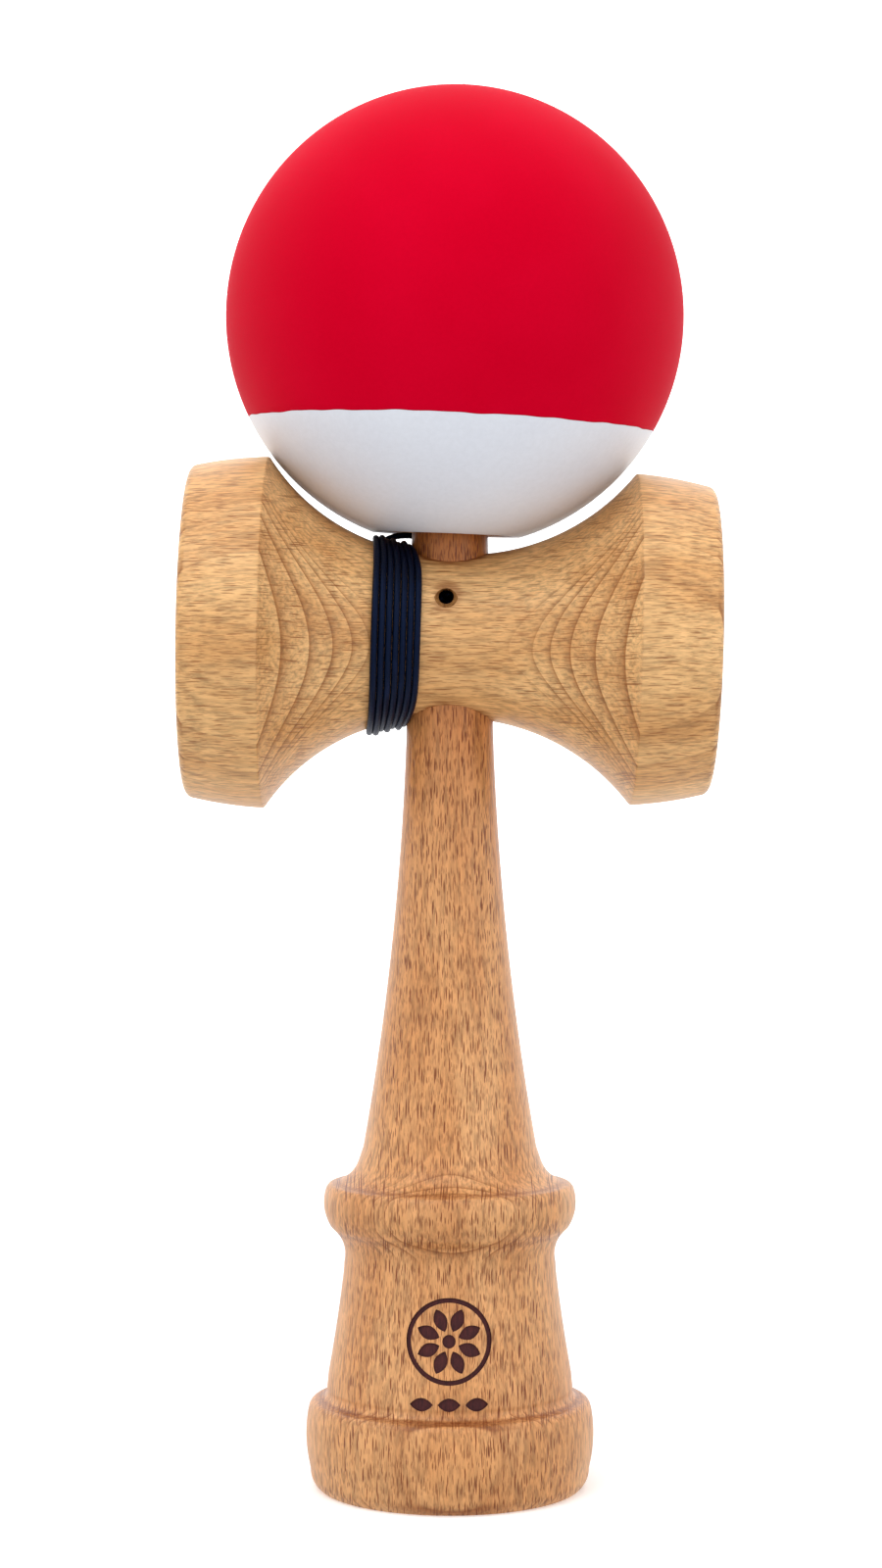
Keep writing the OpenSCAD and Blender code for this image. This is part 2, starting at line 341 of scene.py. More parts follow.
def wood(
    name, order, light, deep, ring, mark, gap, shift, seed,
    widen=None, faint=(0, 1), tilt=(0, 0), marks=1.0, long_marks=1.0, ring_depth=0.7,
    crease_shade=(), join_shade_and_halo=(), darker_from=None, tone=None,
):
    """Turned beech.

    order: which of x, y and z run across the rays, across the growth layers and along the grain
    light, deep, ring, mark: the ground's two tones, the late wood's and the ray ends'
    gap, shift, seed: the growth layers' thickness and place, and a place in the patterns
    widen: the depth in front of which the layers get thicker, and how fast they do
    faint: the depths over which their contrast comes in
    tilt: how far they lean about the grain, and the height where they don't
    marks, long_marks, ring_depth: strength and length of the ray ends, strength of the layers
    crease_shade: painted shade along the turned creases and edges, as (height, reach, share)
    join_shade_and_halo: painted shade where the spike meets the crosspiece, and a darker halo
    round the cord's hole, as (directions across, a point on the axis, radius, reach, share)
    darker_from, tone: the heights over which the wood gets darker and redder, partly as painted
    shade, and by what
    """
    s = Shader(name, specular_ior_level=0.28)
    spot = s.spot()
    spot_parts = s.parts(spot)
    p = s.add("CombineXYZ", {i: spot_parts[order[i]] for i in range(3)}).outputs[0]
    p = s.vectors("ADD", p, (seed, 0, seed * 1.7))
    # slow wander of the fibres
    wander = s.noise(s.scaled(p, 0.06, 0.06, 0.02), detail=2).outputs["Color"]
    wander = s.vectors("SUBTRACT", wander, (0.5, 0.5, 0.5))
    p = s.vectors("ADD", s.scaled(wander, 1.6, 0.5, 2.0), p)
    x, y, z = s.parts(p)
    # growth layers: planes across y, each dark at its start and then fading. They show best on
    # faces that cut across the grain
    y = s.math("ADD", y, s.math("MULTIPLY", s.math("SUBTRACT", x, tilt[1] + seed), tilt[0]))
    if widen:
        back = s.math("DIVIDE", s.math("MAXIMUM", s.math("SUBTRACT", y, -widen[0]), 0.0), gap)
        front = s.math("MAXIMUM", s.math("SUBTRACT", -widen[0], y), 0.0)
        front = s.math("MULTIPLY_ADD", front, 1 / (gap * widen[1]), 1.0)
        front = s.math("LOGARITHM", front, math.e)
        layer = s.math("ADD", s.math("MULTIPLY_ADD", front, -widen[1], back), shift)
    else:
        layer = s.math("MULTIPLY_ADD", y, 1 / gap, shift)
    saw = s.math("FRACT", layer)
    late = s.ramp(saw, (0.0, 0.0), (0.03, 1.0), (0.14, 0.6), (0.4, 0.15), (1.0, 0.0))
    late = s.math("MULTIPLY", late, s.span(s.math("ABSOLUTE", y), *faint, 0.25, 1.0))
    facing = s.parts(s.add("TexCoord").outputs["Normal"])
    sideways, endways = (s.math("ABSOLUTE", facing[order[k]]) for k in (0, 2))
    late = s.math("MULTIPLY", late, s.span(endways, 0.14, 0.5, 0.35, 1.0))
    # ground tone, in patches long along the grain
    patch = s.noise(s.scaled(p, 0.16, 0.16, 0.03), detail=3, rough=0.55).outputs[0]
    colour = s.mix(s.span(patch, 0.3, 0.7), light, deep)
    colour = s.mix(s.math("MULTIPLY", late, ring_depth), colour, ring)
    # fibres
    fibre = s.noise(s.scaled(p, 2.1, 2.1, 0.2), detail=3, rough=0.6).outputs[0]
    fibre_tone = s.ramp(fibre, (0.34, 0.68), (0.5, 1.01), (0.65, 1.2))
    colour = s.mix(1.0, colour, fibre_tone, "MULTIPLY")
    # ray ends: dashes along the grain, weaker on the sides
    height = s.math("MULTIPLY", fibre, 0.35)
    flat = s.add("CombineXYZ", {0: x, 1: z}).outputs[0]
    marks = s.span(sideways, 0.72, 0.96, marks, 0.35 * marks)
    for wide, long, small, large, least, most in RAY_ENDS:
        cells = s.scaled(flat, 1 / wide, 1 / (long * long_marks), 1)
        cells = s.add(
            "TexVoronoi", {"Vector": cells, "Scale": 1.0, "Randomness": 1.0},
            voronoi_dimensions="2D",
        )
        red, green, _ = s.add("SeparateColor", {0: cells.outputs["Color"]}).outputs
        edge = s.span(red, 0.0, 1.0, small, large)
        inside = s.span(cells.outputs["Distance"], edge, s.math("MULTIPLY", edge, 0.5))
        strength = s.math("MULTIPLY", marks, s.span(green, 0.0, 1.0, least, most))
        dash = s.math("MULTIPLY", inside, strength)
        colour = s.mix(dash, colour, mark)
        height = s.math("SUBTRACT", height, dash)
    # painted shade: bands of the ray ends' colour along the turned creases and edges, where shade
    # falls
    for at, reach, share in crease_shade:
        near = s.math("ABSOLUTE", s.math("SUBTRACT", spot_parts["Z"], at))
        near = s.span(near, 0.0, reach, share, 0.0)
        near = s.math("MULTIPLY", near, s.span(fibre, 0.3, 0.7, 1.0, 0.6))
        colour = s.mix(near, colour, mark)
    # painted shade round the spike's join, and a darker halo round the cord's hole
    for across, middle, radius, reach, share in join_shade_and_halo:
        off = s.vectors("LENGTH", s.scaled(s.vectors("SUBTRACT", spot, middle), *across))
        off = s.math("MULTIPLY_ADD", fibre, RAGGED, off)
        edge = radius + RAGGED / 2
        colour = s.mix(s.span(off, edge, edge + reach, share, 0.0), colour, mark)
    # the handle darker and redder towards the top: partly painted shade under the crosspiece and
    # the ball
    if darker_from:
        top_shade = s.math("POWER", s.span(z, *darker_from), 1.5)
        colour = s.mix(top_shade, colour, s.mix(1.0, colour, tone, "MULTIPLY"))
    rough = s.math("MULTIPLY_ADD", fibre, 0.2, 0.31)
    return s.finish(colour, rough, height, depth=0.07, strength=0.55)


def burnt(name, deep, edge):
    """Dark wood, a little lighter where the fibres are hard: scorched for the burnt mark, and
    painted shade on the walls of the bored holes.
    """
    s = Shader(name, specular_ior_level=0.2)
    grain = s.noise(s.scaled(s.spot(), 3.2, 3.2, 0.5), detail=4, rough=0.7).outputs[0]
    colour = s.ramp(grain, (0.32, deep), (0.72, edge))
    return s.finish(colour, s.ramp(grain, (0.2, 0.6), (0.8, 0.85)), grain, depth=0.1)


def paint(name, colour, other, rough, grain, depth, gloss, tint, ior=1.45):
    """A sprayed skin: nearly even in tone, with a fine grain that breaks up its gloss."""
    s = Shader(name, ior=ior, specular_ior_level=gloss, specular_tint=tint)
    p = s.spot()
    cloud = s.noise(s.scaled(p, 0.06, 0.06, 0.06), detail=3).outputs[0]
    fine = s.noise(s.scaled(p, grain, grain, grain), detail=4, rough=0.65).outputs[0]
    tone = s.mix(s.span(cloud, 0.3, 0.7), colour, other)
    tone = s.mix(1.0, tone, s.ramp(fine, (0.3, 0.95), (0.7, 1.0)), "MULTIPLY")
    rough = s.math("MULTIPLY_ADD", fine, 0.16, rough - 0.08)
    return s.finish(tone, rough, fine, depth=depth, strength=0.5)


def waxed_cord(name):
    """Braided waxed cord. The braid attribute is the cord's own straight frame, in mm."""
    s = Shader(name, ior=1.25, specular_ior_level=0.65, specular_tint=srgb(120, 160, 245))
    p = s.add("Attribute", attribute_name="braid").outputs["Vector"]
    fibre = s.noise(s.scaled(p, 9, 9, 1.6), detail=3, rough=0.6).outputs[0]
    wax = s.noise(s.scaled(p, 0.6, 0.6, 0.25), detail=3).outputs[0]
    blue = (0.3, srgb(2, 3, 9)), (0.55, srgb(4, 8, 24)), (0.8, srgb(13, 22, 50))
    colour = s.mix(s.span(wax, 0.55, 0.8, 0, 0.3), s.ramp(fibre, *blue), srgb(34, 46, 82))
    rough = s.math("MULTIPLY_ADD", wax, 0.3, 0.3)
    return s.finish(colour, rough, fibre, depth=0.05, strength=0.7)


HANDLE_WOOD = wood(
    "beech_handle", (0, 1, 2),
    srgb(223, 166, 111), srgb(209, 146, 90), srgb(148, 88, 44), srgb(120, 56, 16),
    gap=1.1, shift=0.0, seed=3.0, widen=(14.3, 0.49), faint=(9, 14),
    long_marks=0.85, marks=1.1, ring_depth=0.95,
    # painted shade along the base's crease and the collar's edges
    crease_shade=((11.62, 0.3, 0.75), (39.85, 0.28, 0.6), (33.4, 0.5, 0.25)),
    # darker towards the top, partly painted shade under the crosspiece and the ball
    darker_from=(42, 144), tone=srgb(206, 170, 122),
)
CROSS_WOOD = wood(
    "beech_crosspiece", (2, 1, 0),
    srgb(231, 184, 125), srgb(212, 158, 98), srgb(154, 98, 48), srgb(136, 76, 28),
    gap=0.85, shift=0.3, seed=11.0, widen=(13.0, 2.13), faint=(10.5, 13.0), tilt=(0.15, CROSS_Z),
    marks=0.7, ring_depth=0.95,
    # painted shade round the spike's join, and a darker halo round the cord's hole
    join_shade_and_halo=(
        ((1, 1, 0), (0, 0, 0), 4.8, 2.6, 0.7),
        ((1, 1, 0), (0, 0, 0), 5.3, 0.6, 1.0),
        ((1, 0, 1), (STRING_X, 0, STRING_Z), 1.2, 1.2, 0.6),
    ),
)
BALL_WOOD = wood(
    "beech_ball", (0, 1, 2),
    srgb(220, 172, 126), srgb(206, 152, 106), srgb(172, 116, 72), srgb(132, 80, 42),
    gap=1.6, shift=0.6, seed=23.0,
)
BEAD_WOOD = wood(
    "turned_bead_wood", (0, 1, 2),
    srgb(226, 186, 140), srgb(212, 166, 118), srgb(180, 128, 82), srgb(140, 90, 50),
    gap=0.9, shift=0.2, seed=31.0,
)
BURNT = burnt("burnt_wood", srgb(46, 16, 20), srgb(84, 38, 38))
# painted shade: the bores' walls darker, where shade falls inside the holes
BORE_SHADE = burnt("bored_wood_shade", srgb(96, 56, 24), srgb(196, 142, 80))
RED = paint(
    "matte_red_paint", srgb(216, 2, 41), srgb(211, 0, 37),
    rough=0.6, grain=2.2, depth=0.03, gloss=0.1, tint=srgb(255, 60, 90), ior=1.22,
)
WHITE = paint(
    "satin_white_paint", srgb(235, 240, 250), srgb(231, 236, 247),
    rough=0.42, grain=1.4, depth=0.02, gloss=0.3, tint=srgb(255, 255, 255),
)
CORD = waxed_cord("navy_waxed_cord")


def dress(obj, body, slot, *materials):
    """Gives a piece its materials and its body."""
    if materials:
        obj.data.materials.clear()
        for m in materials:
            obj.data.materials.append(m)
    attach(obj, body)
    return obj


# ---------------------------------------------------------------- handle
# From the middle of the base cup over the base, the collar and the shaft to the spike's tip
handle_outline = (
    [(r, BASE_CUP_DEPTH - h) for r, h in dish(BASE_CUP_R, BASE_CUP_DEPTH)]
    + arc((17, 0), (BASE_R - 0.6, 2.4), -0.35)
    + arc((BASE_R - 0.5, 3), (BASE_R - 0.25, 10), -0.35)
    + arc((BASE_R - 0.4, 10.6), (BASE_R - 1.7, 11.5), -0.3)
    + arc((16.7, 11.65), (16.1, 13), 0.3)
    + arc((15.9, 15), (13.95, 28), 0.1)
    + arc((13.85, 29.5), (15.2, 33.7), 0.6)
    + arc((15.6, 34.1), (COLLAR_R - 0.3, 39.2), -0.6)
    + arc((COLLAR_R - 0.7, 39.65), (11.9, 42.9), 0.8)
    + arc((11.35, 44.5), NECK_LOW, 0.94)
    + [NECK_HIGH]
    + arc((4.8, 130), (TIP_R, TIP_Z - TIP_R), -0.2)
    + arc((TIP_R, TIP_Z - TIP_R), (0, TIP_Z), -0.29 * TIP_R)
)
handle_outline = softened(handle_outline, 0.1, step=0.1, within=0.003)
handle = lathe("handle_turning", handle_outline)
handle.data.materials.append(HANDLE_WOOD)


def ring_loop(x, z, r, n=48):
    a = np.linspace(0, 2 * math.pi, n, endpoint=False)
    return [(x + r * math.cos(t), z + r * math.sin(t)) for t in a]


def petal(x, z, inner, outer, width, turn, n=12):
    """A pointed leaf that lies between two distances from (x, z)."""
    t = np.linspace(0, 1, n + 1)
    side = width / 2 * np.sin(math.pi * t) ** 0.8
    along = inner + (outer - inner) * t
    loop = list(zip(along, side)) + list(zip(along[-2:0:-1], -side[-2:0:-1]))
    c, s = math.cos(turn), math.sin(turn)
    return [(x + a * c - b * s, z + a * s + b * c) for a, b in loop]


# The burnt mark: a rosette of petals in a hoop, over three lozenges
MARK_X, MARK_Z, MARK_R, MARK_LINE, MARK_DEPTH = -0.15, 21.5, 5.4, 0.6, 0.22
PETALS, PETAL_FROM, PETAL_TO, PETAL_WIDE, EYE_R = 8, 1.3, 4.3, 1.7, 0.85
LOZENGE_Z, LOZENGE_GAP, LOZENGE_HALF = 13.7, 3.5, 1.45
MARK_FRONT, MARK_BACK = -22, -8  # its tools reach from before the handle to inside it
BELL_LOW, BELL_HIGH = 12, 29  # the heights that it lies between

rosette = [
    petal(MARK_X, MARK_Z, PETAL_FROM, PETAL_TO, PETAL_WIDE, math.radians(360 / PETALS * (k + 0.5)))
    for k in range(PETALS)
]
rosette.append(ring_loop(MARK_X, MARK_Z, EYE_R))
rosette += [
    petal(MARK_X + LOZENGE_GAP * k, LOZENGE_Z, -LOZENGE_HALF, LOZENGE_HALF, PETAL_WIDE, 0)
    for k in (-1, 0, 1)
]
mark = prism("mark_tool", rosette, MARK_FRONT, MARK_BACK)
hoop_y, hoop_half = (MARK_FRONT + MARK_BACK) / 2, (MARK_BACK - MARK_FRONT) / 2
hoop_outline = [(MARK_R, -hoop_half), (MARK_R, hoop_half)]
hoop_outline += [(r - MARK_LINE, z) for r, z in hoop_outline[::-1]]
hoop_place = Matrix.Translation((MARK_X, hoop_y, MARK_Z)) @ Matrix.Rotation(math.pi / 2, 4, "X")
hoop = lathe("hoop_tool", hoop_outline, hoop_place, around=128, closed=True)
# the handle's own shape, smaller by the burn's depth, is what the tools may not reach
inset_outline = [(r, z) for r, z in handle_outline if BELL_LOW < z < BELL_HIGH and r > 10]
inset_outline = [(16.4, 6), *inset_outline, (13.9, 31)]
inset_outline = [(0, 6), *[(r - MARK_DEPTH, z) for r, z in inset_outline], (0, 31)]
for tool in (mark, hoop):
    tool.data.materials.append(BURNT)
    inset = lathe("inset_tool", inset_outline)
    inset.data.materials.append(BURNT)
    cut(tool, inset)

# The cord's hole runs along Y. The handle's narrows behind the knot's room
hole_place = (
    Matrix.Translation((STRING_X, 0, STRING_Z)) @ Matrix.Rotation(math.radians(-90), 4, "X")
)
knot_seat = lathe(
    "seat_tool",
    [(0, -12), (KNOT_ROOM_R, -12), (KNOT_ROOM_R, KNOT_ROOM_Y),
     (STRING_HOLE_R, KNOT_ROOM_Y), (STRING_HOLE_R, 12), (0, 12)],
    hole_place, around=32,
)
knot_seat.data.materials.append(BORE_SHADE)
cut(handle, mark, hoop, knot_seat)
dress(handle, "handle", "handle_wood")
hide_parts("handle")


# ---------------------------------------------------------------- crosspiece
def cross_half(end_r, cup, inset):
    """Outline of one half, from the cup's middle round the rim to the waist."""
    rim_r, depth = cup
    return (
        [(r, CROSS_HALF - depth + h) for r, h in dish(rim_r, depth)]
        + arc((end_r - inset - 1.2, CROSS_HALF), (end_r - inset, CROSS_HALF - 1.2), 0.35)
        + arc((end_r - 0.85 * inset, CROSS_HALF - 2), (end_r, FLARE_END + 0.5), 0.15)
        + [(flare(at, end_r), at) for at in (FLARE_END * i / 40 for i in range(40, 0, -1))]
    )


small_side = cross_half(SMALL_R, SMALL_CUP, 1.4)
big_side = [(r, -h) for r, h in cross_half(BIG_R, BIG_CUP, 1.1)[::-1]]
cross_outline = small_side + [(WAIST_R, 0)] + big_side
cross_outline = softened(cross_outline, 0.12, step=0.1, within=0.003)
cross = lathe("crosspiece_turning", cross_outline, IN_CROSS, around=192)
cross.data.materials.append(CROSS_WOOD)
neck_outline = [(r + NECK_GAP, z) for r, z in (NECK_LOW, NECK_HIGH)]
neck_outline = [(0, NECK_LOW[1]), *neck_outline, (0, NECK_HIGH[1])]
neck = lathe("neck_tool", neck_outline, around=96)
neck.data.materials.append(CROSS_WOOD)
# the cord's hole again, its mouths worn open
through = lathe(
    "through_tool",
    [(0, -14), (1.9, -14), (1.5, -9.75), (1.15, -9.3), (STRING_HOLE_R, -9.0),
     (STRING_HOLE_R, 9.0), (1.12, 9.35), (1.45, 9.8), (1.9, 14), (0, 14)],
    hole_place, around=40,
)
# the hole's walls and mouths take the bores' painted shade
through.data.materials.append(BORE_SHADE)
cut(cross, neck, through)
dress(cross, "handle", "crosspiece_wood")
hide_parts("crosspiece")

# ---------------------------------------------------------------- ball
RIM_Z = -math.sqrt(BALL_R**2 - HOLE_RIM_R**2)
CORE_R = BALL_R - PAINT
MOUTH_X, MOUTH_Z = CORD_HOLE_R + MOUTH, BALL_R - 0.1 - MOUTH


def mouth_arc(a, b, n=8):
    t = np.radians(np.linspace(a, b, n + 1))
    return [(MOUTH_X - MOUTH * math.cos(x), MOUTH_Z + MOUTH * math.sin(x)) for x in t]


def bevel_at(radius):
    """Where the hole's 45 degree bevel meets the ball at a radius."""
    drop = RIM_Z + HOLE_RIM_R
    x = (drop + math.sqrt(2 * radius**2 - drop**2)) / 2
    return x, drop - x


def height_angle(point):
    return math.degrees(math.atan2(point[1], point[0]))


# The paint line's waves: how many go round the ball, their size in mm and their start
WAVES = (3, 0.09, 0.4), (11, 0.05, 2), (23, 0.04, 0), (41, 0.03, 1)


def wavy(grid, a):
    """Lets the paint line wander, on the inner and outer face alike."""
    radius = np.linalg.norm(grid, axis=2)
    lat = np.arcsin(grid[..., 2] / radius)
    line = math.asin(PAINT_LINE / BALL_R)
    wave = sum(size * np.sin(count * a + start) for count, size, start in WAVES)
    near = np.clip(1 - np.abs(lat - line) / math.radians(8), 0, 1)
    lat = lat + near * wave[None, :] / BALL_R
    grid[..., 0] = radius * np.cos(lat) * np.cos(a)
    grid[..., 1] = radius * np.cos(lat) * np.sin(a)
    grid[..., 2] = radius * np.sin(lat)
    return grid


# the core's mouth ends under the red coat's, which carries it on to the ball's own curve
inner_rim = bevel_at(CORE_R)
core_mouth, coat_mouth = 55.5, 82.5
core_end, coat_end = (height_angle(mouth_arc(0, end)[-1]) for end in (core_mouth, coat_mouth))
core_outline = (
    [(HOLE_R, SPIKE_HOLE_END), (HOLE_R, RIM_Z + HOLE_RIM_R - HOLE_R), inner_rim]
    + round_arc(CORE_R, height_angle(inner_rim), core_end, 90)
    + mouth_arc(0, core_mouth)[::-1]
    + [(CORD_HOLE_R, BEAD_POCKET[1]), (BEAD_POCKET_R, BEAD_POCKET[1])]
    + [(BEAD_POCKET_R, BEAD_POCKET[0])]
)
core_outline = softened(core_outline, 0.1, closed=True)
core = lathe("ball_wood_core", core_outline, IN_BALL, around=192, closed=True)
dress(core, "ball", "ball_wood", BALL_WOOD)
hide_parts("ball_core")

# both coats stop LINE_GAP degrees short of the paint line
LINE_GAP = 0.03
line_out, line_in = (math.degrees(math.asin(PAINT_LINE / r)) for r in (BALL_R, CORE_R))
red_outline = (
    round_arc(BALL_R, line_out + LINE_GAP, coat_end, 90)
    + mouth_arc(core_mouth, coat_mouth)[::-1]
    + round_arc(CORE_R, core_end, line_in + LINE_GAP, 90)
)
red_outline = softened(red_outline, 0.05, closed=True, step=0.05)
red = lathe("red_skin", red_outline, IN_BALL, around=288, closed=True, shift=wavy)
dress(red, "ball", "red_paint", RED)
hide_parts("ball_red_coat")

white_outline = (
    round_arc(BALL_R, height_angle((HOLE_RIM_R, RIM_Z)), line_out - LINE_GAP, 40)
    + round_arc(CORE_R, line_in - LINE_GAP, height_angle(inner_rim), 40)
)
white_outline = softened(white_outline, 0.05, closed=True, step=0.05)
white = lathe("white_skin", white_outline, IN_BALL, around=288, closed=True, shift=wavy)
dress(white, "ball", "white_paint", WHITE)
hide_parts("ball_white_coat")

# ---------------------------------------------------------------- string
TURNS = 7
FIRST_TURN, PITCH = 3.775, 0.93
# At the top and bottom the first turn stands further out and the turns lie closer, to pass the
# handle, and every other one is lifted to find room
TOP_SHIFT, TOP_CLOSER, BOTTOM_SHIFT, BOTTOM_CLOSER = 1.76, 0.2, 1.605, 0.17
CORD_GAP, CROWDED_LIFT = 0.05, 0.3
RUN_R = BALL_R + STRING_D / 2 + 0.15
MOUTH_RUN = MOUTH + STRING_D / 2 + 0.2

# From the knot in the handle out of the back of the hole, and up to the first turn
lead_route = [(STRING_X, y, STRING_Z) for y in (STRING_END_Y, 2, 6, 9)]
lead_route += [
    (-0.52, 10.2, 116.12), (-0.65, 11.35, 116.45), (-0.95, 12.2, 117.25), (-1.4, 12.42, 118.35),
    (-1.95, 11.85, 119.4), (-2.55, 10.75, 120.15), (-3.1, 9.4, 120.7),
]
# From the last turn across the winding and behind the spike
cross_route = [
    (-10.45, 8.75, 121.6), (-9.95, 7.55, 123.2), (-8.75, 6.5, 124.45), (-6.9, 6, 125.1),
    (-4.6, 6.4, 125.1), (-2.4, 7.6, 124.6), (-0.9, 10.6, 124.1),
]
# In the ball's own frame: up its back, over the mouth at its top, and down to the bead
run_route = [
    (0, RUN_R * math.sin(math.radians(a)), -RUN_R * math.cos(math.radians(a)))
    for a in range(24, 169, 12)
]
mouth_route = [
    (0, MOUTH_X - MOUTH_RUN * math.sin(t), MOUTH_Z + MOUTH_RUN * math.cos(t))
    for t in np.radians((4, 28, 52, 76))
]
mouth_route += [
    (0, 0.62, 27.2), (0, 0.5, 25.5), (0, 0.2, 23), (0, 0, 19.5), (0, 0, 16), (0, 0, 13.4),
]


def bump_at(angle, middle, wide=30.0):
    return math.exp(-(((angle - middle) / wide) ** 2))


def winding_point(turn):
    """The cord's middle on the crosspiece, turn degrees from the back, over the top and down
    the front."""
    angle, count = turn % 360, turn // 360
    top, bottom = bump_at(angle, 90), bump_at(angle, 270)
    pitch = PITCH - TOP_CLOSER * top - BOTTOM_CLOSER * bottom
    at = -FIRST_TURN - TOP_SHIFT * top - BOTTOM_SHIFT * bottom - pitch * turn / 360
    slope = (flare(-at + 0.05) - flare(-at - 0.05)) / 0.1
    lift = (STRING_D / 2 + CORD_GAP) + CROWDED_LIFT * (count % 2) * max(top, bottom)
    length = math.hypot(1, slope)
    at, r = at + lift * slope / length, flare(-at) + lift / length
    a = math.radians(turn)
    return IN_CROSS @ Vector((-r * math.sin(a), r * math.cos(a), at))


def smooth(points, step, passes=26):
    """A smooth curve close to the points, as evenly spaced points about step apart. More passes
    round off its small kinks more."""
    p = np.array([tuple(q) for q in points], float)
    p = np.vstack([p[:1], p, p[-1:]])
    t = np.linspace(0, 1, 16, endpoint=False)[:, None]
    run = []
    for a, b, c, d in zip(p[:-3], p[1:-2], p[2:-1], p[3:]):
        square, cube = 2 * a - 5 * b + 4 * c - d, 3 * b - a - 3 * c + d
        run.append((2 * b + (c - a) * t + square * t**2 + cube * t**3) / 2)
    run = np.vstack([*run, p[-1:]])
    along = np.concatenate([[0], np.cumsum(np.linalg.norm(np.diff(run, axis=0), axis=1))])
    at = np.linspace(0, along[-1], int(along[-1] / step) + 1)
    path = np.stack([np.interp(at, along, run[:, k]) for k in range(3)], 1)
    for _ in range(passes):
        path[1:-1] = (path[:-2] + 2 * path[1:-1] + path[2:]) / 4
    return path


def tube(name, path, diameter, sides=20, closed=False, relief=0.045, strands=4, lay=5.2):
    """A braided cord along the path: its surface rises and falls where its strands cross. They
    turn round it by lay radians in a mm."""
    n = len(path)
    if closed:
        ahead = np.roll(path, -1, 0) - np.roll(path, 1, 0)
    else:
        ahead = np.gradient(path, axis=0)
    ahead /= np.linalg.norm(ahead, axis=1)[:, None]
    side = np.empty_like(path)
    now = np.cross(ahead[0], (0.3, 0.2, 1))
    for i in range(n):
        now = now - ahead[i] * (now @ ahead[i])
        now /= np.linalg.norm(now)
        side[i] = now
    up = np.cross(ahead, side)
    along = np.concatenate([[0], np.cumsum(np.linalg.norm(np.diff(path, axis=0), axis=1))])
    a = np.linspace(0, 2 * math.pi, sides, endpoint=False)
    turned = along[:, None] * lay
    braid = np.cos(strands * a[None, :] + turned) * np.cos(strands * a[None, :] - turned)
    r = diameter / 2 * (1 - relief + relief * braid)
    if not closed:
        r[[0, -1]] *= 0.8  # its cut ends
    points = path[:, None] + r[..., None] * (
        np.cos(a)[None, :, None] * side[:, None] + np.sin(a)[None, :, None] * up[:, None]
    )
    faces = []
    for i in range(n if closed else n - 1):
        faces += quads(i * sides, (i + 1) % n * sides, sides)
    if not closed:
        faces += [tuple(range(sides))[::-1], tuple(range((n - 1) * sides, n * sides))]
    obj = mesh_object(name, points.reshape(-1, 3), faces, smooth_below=70)
    straight = np.empty((n, sides, 3), np.float32)
    straight[..., 0] = np.cos(a) * diameter / 2
    straight[..., 1] = np.sin(a) * diameter / 2
    straight[..., 2] = along[:, None]
    braid_frame = obj.data.attributes.new("braid", "FLOAT_VECTOR", "POINT")
    braid_frame.data.foreach_set("vector", straight.ravel())
    obj.data.materials.append(CORD)
    return obj


turns = [winding_point(t) for t in np.linspace(62, TURNS * 360 + 42, TURNS * 30)]
route = lead_route + turns + cross_route + [IN_BALL @ Vector(q) for q in run_route + mouth_route]
string_path = smooth(route, 0.17)
string = tube("string", string_path, STRING_D)


# ---------------------------------------------------------------- bead and knots
KNOT_MIDDLE = 1.2  # how far a knot's middle lies from its place, along its axis


def knot(name, place, body):
    """The cord's stopper: a small overhand knot drawn tight."""
    t = np.linspace(0, 2 * math.pi, 220, endpoint=False)
    r = 0.66 + 0.34 * np.cos(3 * t)
    along = KNOT_MIDDLE + 0.62 * np.sin(3 * t)
    loop = np.stack([r * np.cos(2 * t), r * np.sin(2 * t), along], 1)
    m = np.array(place, float)
    piece = tube(name, loop @ m[:3, :3].T + m[:3, 3], STRING_D, closed=True)
    dress(piece, body, "cord")
    return piece


handle_knot = knot(
    "knot_in_handle",
    Matrix.Translation((STRING_X, STRING_END_Y, STRING_Z))
    @ Matrix.Rotation(math.radians(90), 4, "X"),
    "handle",
)
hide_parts("handle_knot")
bead_knot = knot(
    "knot_under_bead", IN_BALL @ Matrix.Translation((0, 0, KNOT_AT - KNOT_MIDDLE)), "bead"
)
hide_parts("bead_knot")

bead_outline = [(BEAD_HOLE_R, 0)] + arc((BEAD_R - 1, 0), (BEAD_R - 1, BEAD_LEN), -1)
bead_outline += [(BEAD_HOLE_R, BEAD_LEN * k / 6) for k in range(6, 0, -1)]
bead = lathe(
    "turned_bead", softened(bead_outline, 0.15, closed=True),
    IN_BALL @ Matrix.Translation((0, 0, BEAD_AT - BEAD_LEN / 2)), around=72, closed=True,
)
dress(bead, "bead", "bead_wood", BEAD_WOOD)
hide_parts("bead")

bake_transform(string)
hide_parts("cord_winding", "cord_lead", "cord_run")

# ---------------------------------------------------------------- studio
cove_floor, cove_bend, cove_top, cove_steps = 1300, 600, 3000, 96
cove_outline = [(r, 0) for r in (0, 120, 260, 500, 900, cove_floor)]
cove_outline += [
    (cove_floor + cove_bend * math.sin(a), cove_bend - cove_bend * math.cos(a))
    for a in np.radians(np.arange(6, 91, 6))
]
cove_outline += [(cove_floor + cove_bend, cove_top * 0.6), (cove_floor + cove_bend, cove_top)]
angles = np.linspace(0, 2 * math.pi, cove_steps, endpoint=False)
sweep_points = [
    (r * math.cos(t), r * math.sin(t), z) for r, z in cove_outline[1:] for t in angles
]
sweep_points.append((0, 0, 0))
sweep_faces = [(len(sweep_points) - 1, k, (k + 1) % cove_steps) for k in range(cove_steps)]
for i in range(len(cove_outline) - 2):
    sweep_faces += quads((i + 1) * cove_steps, i * cove_steps, cove_steps)
sweep = mesh_object("sweep", sweep_points, sweep_faces, recalc=False)
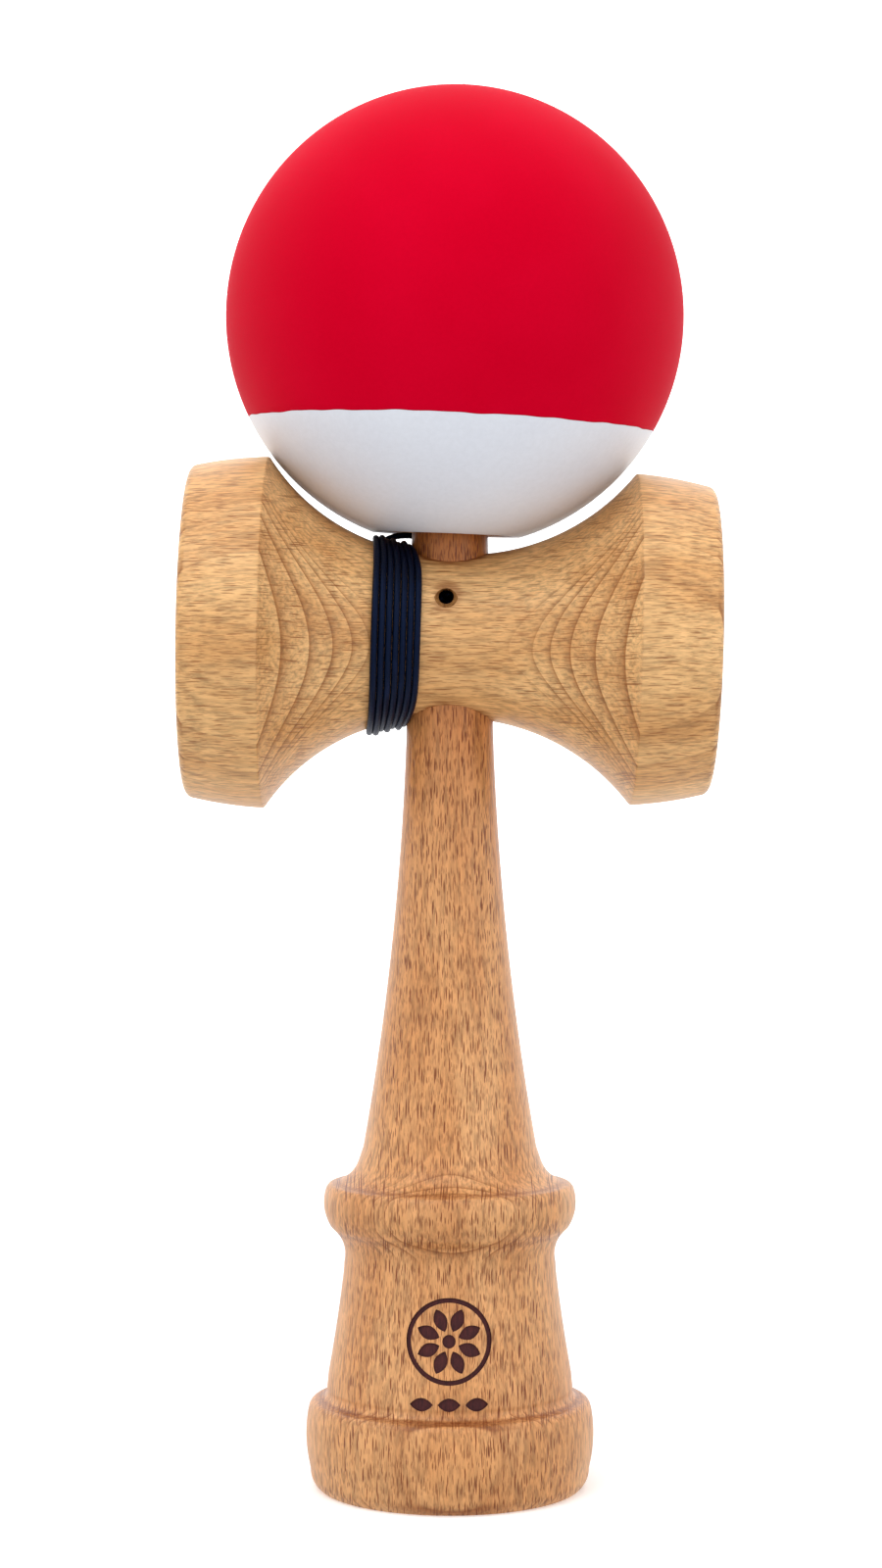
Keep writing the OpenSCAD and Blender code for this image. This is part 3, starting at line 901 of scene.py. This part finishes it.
paper = Shader("pale_paper", roughness=0.9, specular_ior_level=0.1, emission_color=(1, 1, 1, 1))
paper_spot = paper.add("TexCoord").outputs["Object"]
paper_grain = paper.noise(paper_spot, detail=2, scale=40.0).outputs[0]
paper_tone = paper.ramp(paper_grain, (0.3, srgb(247, 247, 248)), (0.7, srgb(250, 250, 251)))
sweep.data.materials.append(paper.finish(paper_tone))
# the paper glows a little, and more where the lamps don't reach
away = paper.vectors("LENGTH", paper_spot)
paper.put(paper.span(away, 0.15, 0.9, 0.3, 1.1), paper.bsdf.inputs["Emission Strength"])
sweep.visible_diffuse = sweep.visible_shadow = False


def softbox(name, place, target, side, power):
    """A square lamp of power watts that faces the target. Its side is in metres."""
    data = bpy.data.lights.new(name, "AREA")
    data.shape, data.size, data.energy = "SQUARE", side, power
    light = bpy.data.objects.new(name, data)
    light.location = place
    light.rotation_euler = (Vector(target) - Vector(place)).to_track_quat("-Z", "Y").to_euler()
    bpy.context.scene.collection.objects.link(light)


softbox("key", place=(-0.4, -0.55, 0.85), target=(0, 0, 0.11), side=0.6, power=2.85)
softbox("fill", place=(0.75, -0.6, 0.3), target=(0, 0, 0.09), side=0.5, power=0.78)
softbox("top", place=(0, -0.05, 0.95), target=(0, 0, 0.1), side=0.7, power=2.55)

# The room's own light is nearly even, and a little stronger from below
WORLD_BELOW, WORLD_ABOVE = 0.81, 0.78
world = bpy.data.worlds.new("studio")
world.use_nodes = True
nodes, links = world.node_tree.nodes, world.node_tree.links
direction = nodes.new("ShaderNodeSeparateXYZ")
rise = nodes.new("ShaderNodeMapRange")
span = {"From Min": -1, "From Max": 1, "To Min": WORLD_BELOW, "To Max": WORLD_ABOVE}
for key, value in span.items():
    rise.inputs[key].default_value = value
links.new(nodes.new("ShaderNodeTexCoord").outputs["Generated"], direction.inputs[0])
links.new(direction.outputs["Z"], rise.inputs["Value"])
links.new(rise.outputs[0], nodes["Background"].inputs["Strength"])
nodes["Background"].inputs["Color"].default_value = (1, 1, 1, 1)
bpy.context.scene.world = world
bpy.context.scene.view_settings.view_transform = "Standard"
